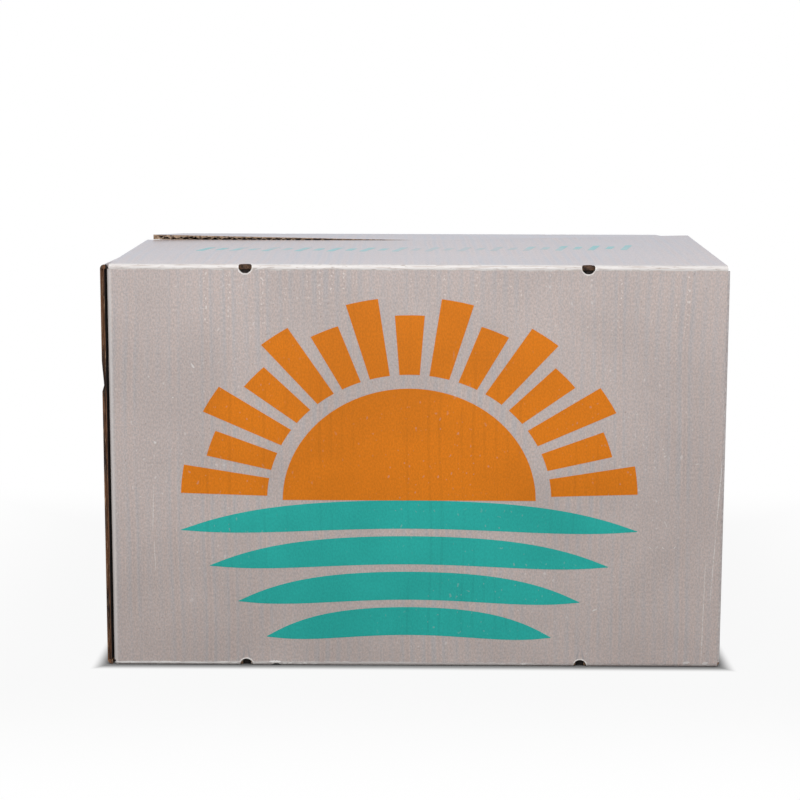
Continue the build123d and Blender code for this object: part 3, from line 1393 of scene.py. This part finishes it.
@dataclass
class VentRims:
    """Torn pale liner round the vents, where the punch broke the wax."""

    places: Frame
    finishes: Finishes
    width: float = 0.0009
    rag: float = 0.0005
    rag_waves: Pair = (2.6, 90.0)
    proud: float = 0.00009
    sunk: float = 0.00005
    steps: int = 40

    def build(self) -> Piece:
        """Builds the rims on the front and rear walls.

        Returns:
            The rims, riding on the box.
        """
        spot, board = self.places, self.places.board
        mesh = bmesh.new()
        top = spot.top - spot.fold_saving - board.vent_shift
        foot = spot.fold_saving - board.drain_shift
        low = spot.fold_saving - board.low_drain_shift
        holes = [(x, top) for x in spot.vents] + [(x, foot) for x in spot.drains]
        for wall, out in ((spot.front, -1), (spot.rear, 1)):
            for x, z in holes:
                self._rim(mesh, Vector((x, wall, z)), out)
        self._rim(mesh, Vector((spot.low_drain, spot.front, low)), -1)
        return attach(make_piece("vent_rims", mesh, self.finishes.pale_rim), "box")

    def _rim(self, mesh: Mesh, centre: Vector, out: int) -> None:
        """Adds one rim on a wall, from the middle of its fold inwards.

        Args:
            mesh: The rims' mesh.
            centre: Middle of the hole on the wall's outside.
            out: Way out of the wall along Y.
        """
        spot, radius = self.places, self.places.board.vent_radius
        edge = spot.board.fold_radius * (1 - math.sqrt(0.5))
        if centre.z < spot.top / 2:
            lean = math.asin((edge - centre.z) / radius)
            start, end = lean, math.pi - lean
        else:
            lean = math.asin((spot.top - edge - centre.z) / radius)
            start, end = math.pi - lean, 2 * math.pi + lean
        made = bmesh.ops.create_grid(mesh, x_segments=self.steps, y_segments=1, size=1.0)
        for vert in made["verts"]:
            angle = start + (end - start) * (vert.co.x + 1) / 2
            reach = radius
            if vert.co.y > 0:
                round_waves, seed = self.rag_waves
                wave = noise.noise((angle * round_waves, centre.x * seed, centre.z * seed))
                reach += self.width + self.rag * wave
            across, up = math.cos(angle) * reach, math.sin(angle) * reach
            vert.co = centre + Vector((across, -out * (self.sunk + spot.bend(centre.z + up)), up))
        moved = grow(mesh, faces_among(mesh, made["verts"]))
        bmesh.ops.translate(mesh, verts=moved, vec=(0, out * (self.sunk + self.proud), 0))


@dataclass
class TornEdge:
    """Torn fibre that hangs from the rear flap's outer liner over its open flutes."""

    places: Frame
    finishes: Finishes
    start: float = -0.2138
    end: float = -0.105
    setback: float = 0.0007
    drop: float = 0.0031
    least: float = 0.0006
    thickness: float = 0.00016
    step: float = 0.0007
    rows: int = 4
    tear_mean: float = 0.55
    tear_swing: float = 0.6
    tear_waves: Triple = (260.0, 1.7, 0.4)
    tear_octaves: tuple[float, float, int] = (0.6, 2.0, 4)
    tear_fade: float = 1.3
    curl: float = 0.00025
    curl_waves: Triple = (300.0, 3.0, 2.0)
    stand_off: float = 0.00032
    under: float = 0.00015

    def build(self) -> Piece:
        """Builds the torn strip.

        Returns:
            The strip, riding on the rear flap.
        """
        tree = surface("rear_top_flap")
        mesh = bmesh.new()
        tear_scale, *tear_seed = self.tear_waves
        curl_scale, curl_rows, curl_seed = self.curl_waves
        columns = int((self.end - self.start) / self.step)
        made = bmesh.ops.create_grid(mesh, x_segments=columns, y_segments=self.rows, size=0.5)
        for vert in made["verts"]:
            along, down = vert.co.x + 0.5, 0.5 - vert.co.y
            x = self.start + along * (self.end - self.start)
            top = tree.ray_cast(Vector((x, self.setback, self.places.top * 2)), DOWN)[0]
            wave = noise.fractal((x * tear_scale, *tear_seed), *self.tear_octaves)
            ragged = max(self.tear_mean + self.tear_swing * wave, 0.0)
            reach = self.least + (self.drop - self.least) * ragged * (1 - along) ** self.tear_fade
            curl = self.curl * noise.noise((x * curl_scale, down * curl_rows, curl_seed))
            level = top.z - self.under - down * min(reach, self.drop)
            vert.co = Vector((x, self.setback - self.stand_off + curl, level))
        thicken(mesh, Vector((0, -self.thickness, 0)))
        material = self.finishes.skins[Skin.TORN]
        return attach(make_piece("rear_flap_torn_edge", mesh, material, smooth=True), "rear_flap")


@dataclass(frozen=True)
class Mark:
    """One rubbed or chipped place on the front wall: its middle, its size and its turn from upright."""

    x: float
    z: float
    length: float
    width: float
    turn: float = 0.0


@dataclass
class WearMarks:
    """Slivers of whitened wax on the front wall: places that were rubbed, and chips along its foot."""

    places: Frame
    finishes: Finishes
    proud: float = 0.00007
    sunk: float = 0.00005
    steps: tuple[int, int] = (2, 14)
    blunt: float = 0.2
    rag: float = 0.6
    rag_waves: Triple = (6.0, 3.7, 2.0)
    rubbed: tuple[Mark, ...] = (
        Mark(-0.1895, 0.118, 0.034, 0.0006, 0.03),
        Mark(-0.1888, 0.082, 0.022, 0.0005, -0.02),
        Mark(-0.1595, 0.222, 0.0042, 0.0012, -0.6),
        Mark(-0.1912, 0.214, 0.0016, 0.0011, 0.3),
        Mark(-0.1806, 0.209, 0.0018, 0.0012, 0.0),
        Mark(-0.1741, 0.199, 0.0013, 0.001, 0.5),
        Mark(-0.1875, 0.166, 0.0022, 0.0016, -0.4),
        Mark(0.1325, 0.043, 0.004, 0.0011, 1.1),
        Mark(0.1799, 0.1625, 0.0014, 0.0008, 0.3),
        Mark(0.1806, 0.1595, 0.0012, 0.0007, 0.0),
        Mark(0.1812, 0.157, 0.002, 0.001, 0.4),
        Mark(0.2046, 0.1516, 0.0022, 0.0007, 1.3),
        Mark(0.1829, 0.1073, 0.0044, 0.0006, -0.4),
        Mark(0.1719, 0.0897, 0.0026, 0.0006, -0.9),
        Mark(0.1767, 0.0899, 0.0022, 0.0006, 0.9),
        Mark(0.1814, 0.0895, 0.0018, 0.0007, -0.8),
        Mark(0.1898, 0.0898, 0.0022, 0.0006, 0.7),
        Mark(0.2213, 0.13, 0.05, 0.0007, 0.06),
        Mark(0.2182, 0.0765, 0.057, 0.0006, 0.056),
        Mark(0.2119, 0.0415, 0.078, 0.0006, 0.02),
        Mark(0.2005, 0.0035, 0.0052, 0.0016, 1.45),
        Mark(0.2142, 0.003, 0.0044, 0.002, 1.3),
    )
    foot_chips: tuple[Mark, ...] = (
        Mark(-0.2065, 0.0021, 0.026, 0.0013, 1.57),
        Mark(-0.183, 0.0022, 0.025, 0.0016, 1.565),
        Mark(-0.16, 0.002, 0.026, 0.0012, 1.575),
        Mark(-0.1385, 0.0021, 0.02, 0.0014, 1.57),
        Mark(-0.1135, 0.0018, 0.012, 0.0006, 1.57),
        Mark(-0.1018, 0.0031, 0.0085, 0.0015, 1.57),
        Mark(-0.0944, 0.0017, 0.0036, 0.0008, 1.57),
        Mark(-0.0907, 0.0018, 0.0028, 0.0009, 1.5),
        Mark(-0.0834, 0.0016, 0.0046, 0.0007, 1.6),
        Mark(-0.0797, 0.0018, 0.003, 0.0009, 1.57),
        Mark(-0.0731, 0.0017, 0.0052, 0.0006, 1.57),
        Mark(0.0647, 0.0017, 0.005, 0.0007, 1.57),
        Mark(0.081, 0.0018, 0.0044, 0.0008, 1.5),
    )

    def build(self) -> list[Piece]:
        """Builds the slivers.

        Returns:
            The rubbed marks and the foot's chips, riding on the box.
        """
        return [
            self._slivers("front_wear_marks", self.rubbed, self.finishes.cracked_wax),
            self._slivers("front_foot_chips", self.foot_chips, self.finishes.chipped_wax),
        ]

    def _slivers(self, name: str, marks: Iterable[Mark], material: Material) -> Piece:
        """Lays slivers on the front wall, round the bend of its foot where they reach it.

        Args:
            name: The piece's name.
            marks: The slivers.
            material: Their finish.

        Returns:
            The piece.
        """
        mesh = bmesh.new()
        columns, rows = self.steps
        lengthwise, between, crosswise = self.rag_waves
        for index, mark in enumerate(marks):
            made = bmesh.ops.create_grid(mesh, x_segments=columns, y_segments=rows, size=0.5)["verts"]
            for vert in made:
                along, across = vert.co.y, vert.co.x
                taper = max(math.sqrt(max(1 - (2 * along) ** 2, 0.0)), self.blunt)
                rag = 1 + self.rag * noise.noise((along * lengthwise, index * between, across * crosswise))
                vert.co = Vector((across * mark.width * taper * rag, 0, along * mark.length))
            bmesh.ops.rotate(mesh, verts=made, cent=(0, 0, 0), matrix=Matrix.Rotation(mark.turn, 3, "Y"))
            bmesh.ops.translate(mesh, verts=made, vec=(mark.x, self.places.front + self.sunk, mark.z))
            for vert in made:
                vert.co.y += self.places.bend(vert.co.z)
        thicken(mesh, Vector((0, -self.sunk - self.proud, 0)))
        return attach(make_piece(name, mesh, material), "box")


@dataclass
class FoldCorners:
    """Ends of the long walls' top folds at the right corners, beside the flaps."""

    places: Frame
    finishes: Finishes
    gap: float = 0.0001
    setback: float = 0.0001
    rise: float = 0.0038
    droop: float = 0.0007
    corner_radius: float = 0.0025
    bend_segments: int = 6
    cuts: int = 5

    def build(self) -> Piece:
        """Builds both ends, bent and mitred like the folds and rounded like the corners.

        Returns:
            The ends, riding on the box.
        """
        spot, board = self.places, self.places.board
        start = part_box("front_top_flap")[1].x + self.gap
        size = Vector((spot.right - self.setback - start, board.thickness, self.rise))
        mesh = bmesh.new()
        for wall, out in ((spot.front, -1), (spot.rear, 1)):
            middle = Vector((start + size.x / 2, wall - out * size.y / 2, spot.top - size.z / 2))
            self._end(mesh, middle, size, out)
        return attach(make_piece("fold_corners", mesh, self.finishes.skins[Skin.OUTER_ACROSS_X]), "box")

    def _end(self, mesh: Mesh, middle: Vector, size: Vector, out: int) -> None:
        """Adds one end.

        Args:
            mesh: The ends' mesh.
            middle: Middle of its block.
            size: Size of its block.
            out: Way out of the wall along Y.
        """
        spot, board = self.places, self.places.board
        before = set(mesh.verts)
        block = bmesh.ops.create_cube(mesh, size=1.0)["verts"]
        bmesh.ops.scale(mesh, verts=block, vec=size)
        bmesh.ops.translate(mesh, verts=block, vec=middle)
        edges = {edge for vert in block for edge in vert.link_edges}
        outer_top = {v for v in block if v.co.z > middle.z and (v.co.y - middle.y) * out > 0}
        fold = [edge for edge in edges if outer_top.issuperset(edge.verts)]
        round_over = {"offset": board.fold_radius, "offset_type": "OFFSET", "segments": self.bend_segments}
        bmesh.ops.bevel(mesh, geom=fold, affect="EDGES", profile=0.5, material=-1, **round_over)
        made = set(mesh.verts) - before
        edges = {edge for vert in made for edge in vert.link_edges}
        lengthwise = [e for e in edges if abs(e.verts[0].co.x - e.verts[1].co.x) > size.x / 2]
        bmesh.ops.subdivide_edges(mesh, edges=lengthwise, cuts=self.cuts, use_grid_fill=True)
        made = set(mesh.verts) - before
        geom = {item for vert in made for item in (vert, *vert.link_edges, *vert.link_faces)}
        inner_foot = (middle.x, middle.y - out * size.y / 2, spot.top - board.thickness)
        mitre = {"plane_co": inner_foot, "plane_no": (0, -out, 1), "clear_outer": True}
        cut = bmesh.ops.bisect_plane(mesh, geom=list(geom), **mitre)
        rim = [item for item in cut["geom_cut"] if isinstance(item, bmesh.types.BMEdge)]
        bmesh.ops.holes_fill(mesh, edges=rim, sides=0)
        for vert in set(mesh.verts) - before:
            past = max(vert.co.x - (spot.right - self.corner_radius), 0.0)
            falls = self.corner_radius - math.sqrt(max(self.corner_radius**2 - past**2, 0.0))
            if (vert.co.y - middle.y) * out > 0:
                vert.co.y -= out * falls
            if vert.co.z > middle.z:
                vert.co.z -= self.droop * (past / self.corner_radius) ** 2


@dataclass(frozen=True)
class Lamp:
    """A soft lamp: its name, place, width and height, power in watts, aim and spread."""

    name: str
    place: Triple
    sides: Pair
    power: float
    aim: Triple = (0.0, 0.0, 0.15)
    spread: float = math.pi

    def build(self) -> None:
        """Hangs the lamp."""
        data = bpy.data.lights.new(self.name, "AREA")
        data.shape = "RECTANGLE"
        data.size, data.size_y = self.sides
        data.energy = self.power
        data.spread = self.spread
        lamp = bpy.data.objects.new(self.name, data)
        lamp.location = self.place
        lamp.rotation_euler = (Vector(self.aim) - lamp.location).to_track_quat("-Z", "Y").to_euler()
        bpy.context.scene.collection.objects.link(lamp)


@dataclass
class Studio:
    """The pale floor, the soft light and the camera."""

    places: Frame
    floor_size: float = 8.0
    floor_near: float = 0.012
    floor_far: Pair = (0.04, 0.3)
    floor_glow: float = 0.93
    floor_shade: float = 0.26
    floor_roughness: float = 0.9
    floor_steps: int = 8
    ambient: float = 0.36
    reflected: Colour = (0.78, 0.87, 1.0, 1.0)
    camera_place: Triple = (-0.003, -1.53, 0.3904)
    camera_pitch: float = math.radians(8.244)
    camera_yaw: float = math.radians(0.317)
    camera_roll: float = math.radians(0.172)
    lens: float = 83.97
    clip_start: float = 0.05
    lamps: tuple[Lamp, ...] = (
        Lamp("key_softbox", (-0.06, -1.0, 1.3), (0.9, 0.9), 14.6),
        Lamp("front_strip_box", (0.0, -1.9, 0.7), (2.4, 0.7), 1.3, (0.0, -0.2, 0.25), math.radians(34)),
        Lamp("left_rear_softbox", (-1.7, 1.2, 0.6), (1.0, 1.0), 7.5),
        Lamp("right_rear_softbox", (1.7, 1.2, 0.6), (1.0, 1.0), 7.5),
    )

    def build(self) -> None:
        """Builds the whole set."""
        self._world()
        self._floor()
        for lamp in self.lamps:
            lamp.build()
        self._camera()

    def _world(self) -> None:
        """White to the camera and in reflections, softer as a light."""
        world = bpy.data.worlds.new("studio")
        world.use_nodes = True
        bpy.context.scene.world = world
        graph = Graph(world.node_tree)
        rays = graph.node("ShaderNodeLightPath").outputs
        seen = graph.most(rays["Is Camera Ray"], rays["Is Glossy Ray"], rays["Is Transmission Ray"])
        colour = graph.mix(rays["Is Glossy Ray"], (1, 1, 1, 1), self.reflected)
        strength = graph.math("MULTIPLY_ADD", seen, 1 - self.ambient, self.ambient)
        background = world.node_tree.nodes["Background"]
        graph.feed(background.inputs["Color"], colour)
        graph.feed(background.inputs["Strength"], strength)

    def _floor(self) -> None:
        """A white floor that takes the box's shadow and fades into the white behind it."""
        mesh = bmesh.new()
        steps = self.floor_steps
        bmesh.ops.create_grid(mesh, x_segments=steps, y_segments=steps, size=self.floor_size / 2)
        data = bpy.data.meshes.new("floor")
        mesh.to_mesh(data)
        mesh.free()
        floor = bpy.data.objects.new("floor", data)
        bpy.context.scene.collection.objects.link(floor)
        material = bpy.data.materials.new("floor_white")
        material.use_nodes = True
        graph = Graph(material.node_tree)
        shader = material.node_tree.nodes["Principled BSDF"]
        shader.inputs["Base Color"].default_value = (*[self.floor_shade] * 3, 1)
        shader.inputs["Roughness"].default_value = self.floor_roughness
        shader.inputs["Specular IOR Level"].default_value = 0.0
        place = graph.node("ShaderNodeTexCoord").outputs["Object"]
        x, y, _ = graph.parts(place)
        beside = graph.math("SUBTRACT", graph.math("ABSOLUTE", x), self.places.right)
        beyond = graph.math("SUBTRACT", graph.math("ABSOLUTE", y), self.places.rear)
        away = graph.most(beside, beyond)
        near = graph.ramp(away, (0.0, self.floor_near), (0.0, self.floor_glow))
        far = graph.ramp(away, self.floor_far, (0.0, 1 - self.floor_glow))
        white = graph.math("ADD", near, far)
        seen = graph.times(white, graph.node("ShaderNodeLightPath").outputs["Is Camera Ray"])
        glow = graph.node("ShaderNodeEmission")
        blend = graph.node("ShaderNodeMixShader")
        graph.feed(blend.inputs[0], seen)
        graph.feed(blend.inputs[1], shader.outputs[0])
        graph.feed(blend.inputs[2], glow.outputs[0])
        graph.feed(material.node_tree.nodes["Material Output"].inputs["Surface"], blend.outputs[0])
        data.materials.append(material)

    def _camera(self) -> None:
        """Adds the camera that took the photograph's view."""
        data = bpy.data.cameras.new("camera")
        data.lens = self.lens
        data.clip_start = self.clip_start
        camera = bpy.data.objects.new("camera", data)
        yaw = Matrix.Rotation(self.camera_yaw, 4, "Z")
        pitch = Matrix.Rotation(math.pi / 2 - self.camera_pitch, 4, "X")
        turn = yaw @ pitch @ Matrix.Rotation(self.camera_roll, 4, "Z")
        camera.matrix_world = Matrix.Translation(self.camera_place) @ turn
        bpy.context.scene.collection.objects.link(camera)
        bpy.context.scene.camera = camera


def main() -> None:
    """Builds the box's looks and the studio, in order."""
    logging.basicConfig(level=logging.INFO, format="%(name)s %(message)s")
    bpy.context.scene.view_settings.view_transform = "Standard"
    places = Frame(Board())
    finishes = Finishes.build(places)
    Carton("carton", places, finishes).dress()
    for end, side in (("front", -1), ("rear", 1)):
        names = {"body": f"{end}_flap", "fold_name": f"{end}_fold_crease"}
        flap = TopFlap(f"{end}_top_flap", places, finishes, side=side, **names)
        flap.dress()
        flap.build_fold()
    for dressing in (FrontPrint, FlapPrint, VentRims, TornEdge, WearMarks, FoldCorners):
        dressing(places, finishes).build()
    Studio(places).build()


if __name__ == "__main__":
    main()
